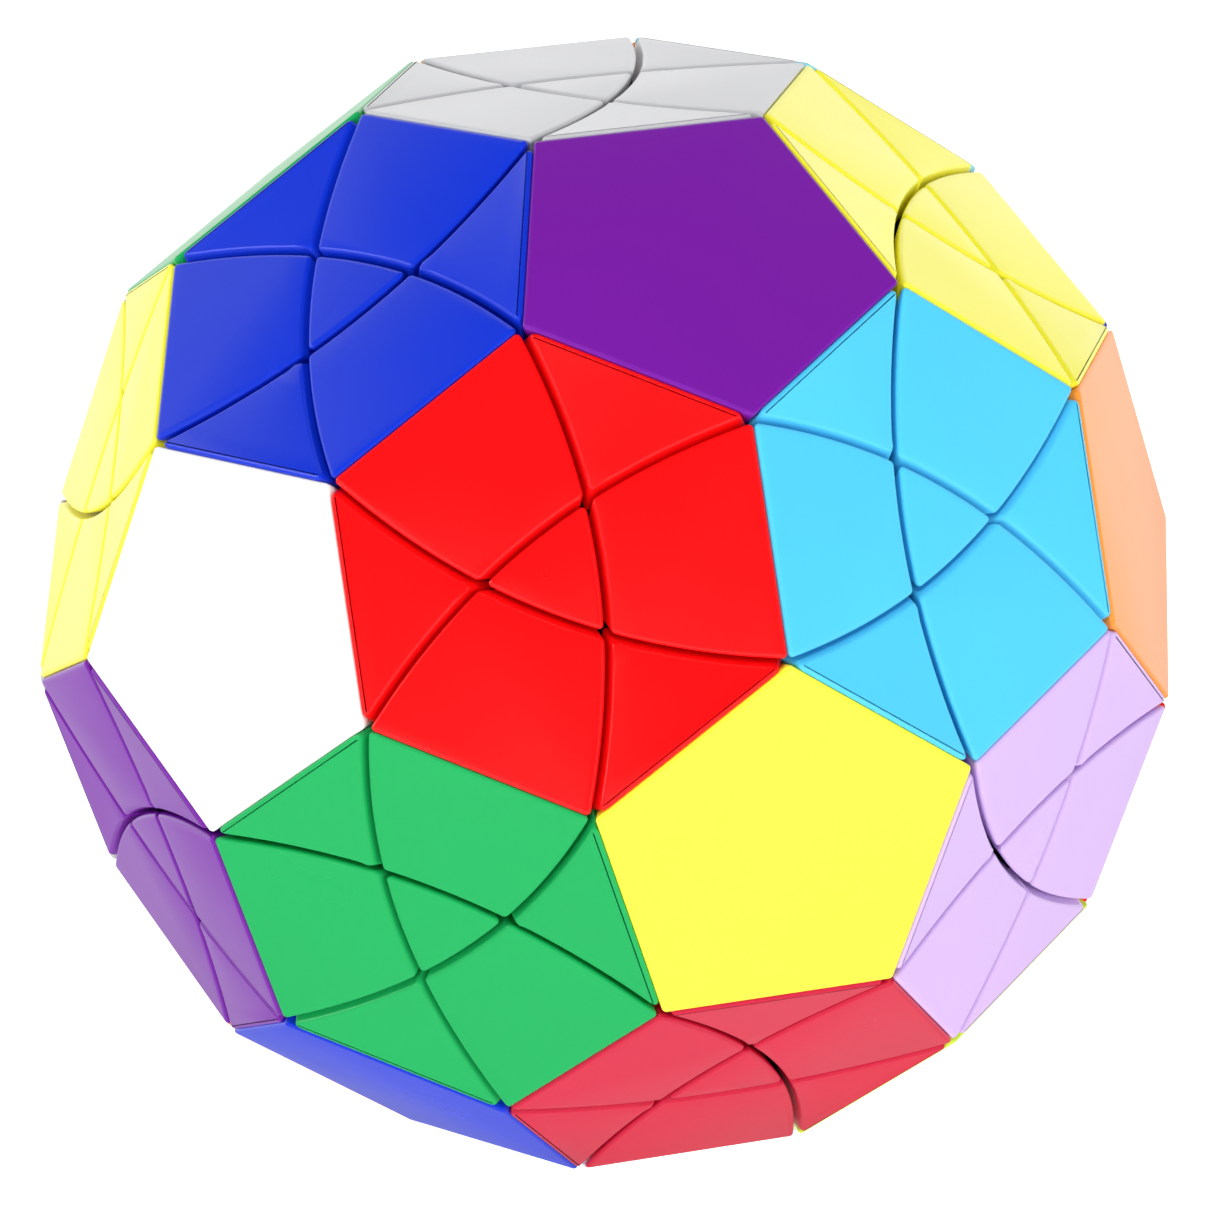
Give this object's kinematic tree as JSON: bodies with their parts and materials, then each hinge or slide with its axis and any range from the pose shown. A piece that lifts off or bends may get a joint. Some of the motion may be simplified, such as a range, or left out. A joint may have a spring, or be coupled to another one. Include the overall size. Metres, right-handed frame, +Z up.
{
  "type": "face-turning puzzle ball",
  "caption": "Ball-shaped face-turning puzzle of flat pentagons and hexagons, each hexagon split by curved cuts into small pieces that turn about the pentagons.",
  "frame": {"origin": "middle of the core, where all turning axes meet", "axes": "+Z up, square to the hexagon it stands on; -Y towards the purple and yellow faces"},
  "size_m": [0.0872, 0.0878, 0.0816],
  "materials": {
    "blue_shell": "satin moulded ABS, coloured through",
    "core_nylon": "moulded nylon",
    "dark_green_shell": "satin moulded ABS, coloured through",
    "green_shell": "satin moulded ABS, coloured through",
    "grey_shell": "satin moulded ABS, coloured through",
    "lime_shell": "satin moulded ABS, coloured through",
    "orange_shell": "satin moulded ABS, coloured through",
    "piece_body": "moulded ABS, black",
    "pink_shell": "satin moulded ABS, coloured through",
    "plated_steel": "zinc plated",
    "purple_shell": "satin moulded ABS, coloured through",
    "red_shell": "satin moulded ABS, coloured through",
    "sky_shell": "satin moulded ABS, coloured through",
    "washer_steel": "zinc plated",
    "white_shell": "satin moulded ABS, coloured through",
    "yellow_shell": "satin moulded ABS, coloured through"
  },
  "bodies": {
    "core_and_lower_part": {"centre_blue": "blue_shell", "centre_dark_green": "dark_green_shell", "centre_green": "green_shell", "centre_grey": "grey_shell", "centre_lime": "lime_shell", "centre_pink": "pink_shell", "centre_purple": "purple_shell", "centre_sky": "sky_shell", "centre_yellow": "yellow_shell", "core": "core_nylon", "corner_lime_dark_green_blue": "piece_body", "corner_purple_sky_green": "piece_body", "corners_at_lower_sides": "piece_body", "edge_green_grey": "piece_body", "edge_purple_green": "piece_body", "edge_purple_sky": "piece_body", "edge_purple_yellow": "piece_body", "edge_sky_green": "piece_body", "edge_sky_pink": "piece_body", "edges_at_bottom": "piece_body", "edges_under_grey": "piece_body", "edges_under_pink": "piece_body", "edges_under_yellow": "piece_body", "screws": "plated_steel", "springs": "plated_steel", "washers": "washer_steel"},
    "white_layer": {"centre_white": "white_shell", "corner_green_white_grey": "piece_body", "corner_purple_green_white": "piece_body", "corner_purple_white_yellow": "piece_body", "corner_white_grey_blue": "piece_body", "corner_white_yellow_blue": "piece_body", "edge_green_white": "piece_body", "edge_purple_white": "piece_body", "edge_white_blue": "piece_body", "edge_white_grey": "piece_body", "edge_white_yellow": "piece_body"},
    "orange_layer": {"centre_orange": "orange_shell", "corner_orange_pink_lime": "piece_body", "corner_orange_yellow_lime": "piece_body", "corner_purple_orange_yellow": "piece_body", "corner_purple_sky_orange": "piece_body", "corner_sky_orange_pink": "piece_body", "edge_orange_lime": "piece_body", "edge_orange_pink": "piece_body", "edge_orange_yellow": "piece_body", "edge_purple_orange": "piece_body", "edge_sky_orange": "piece_body"},
    "red_layer": {"centre_red": "red_shell", "corner_green_red_grey": "piece_body", "corner_red_grey_dark_green": "piece_body", "corner_red_pink_dark_green": "piece_body", "corner_sky_green_red": "piece_body", "corner_sky_red_pink": "piece_body", "edge_green_red": "piece_body", "edge_red_dark_green": "piece_body", "edge_red_grey": "piece_body", "edge_red_pink": "piece_body", "edge_sky_red": "piece_body"}
  },
  "joints": [
    {"name": "turn_white", "type": "hinge", "parent": "core_and_lower_part", "child": "white_layer", "pos_m": [0, 0, 0], "axis": [-0.8507, -0.4911, 0.1876], "continuous": true},
    {"name": "turn_orange", "type": "hinge", "parent": "core_and_lower_part", "child": "orange_layer", "pos_m": [0, 0, 0], "axis": [0.8507, -0.4911, 0.1876], "continuous": true},
    {"name": "turn_red", "type": "hinge", "parent": "core_and_lower_part", "child": "red_layer", "pos_m": [0, 0, 0], "axis": [0, 0.9822, 0.1876], "continuous": true}
  ]
}
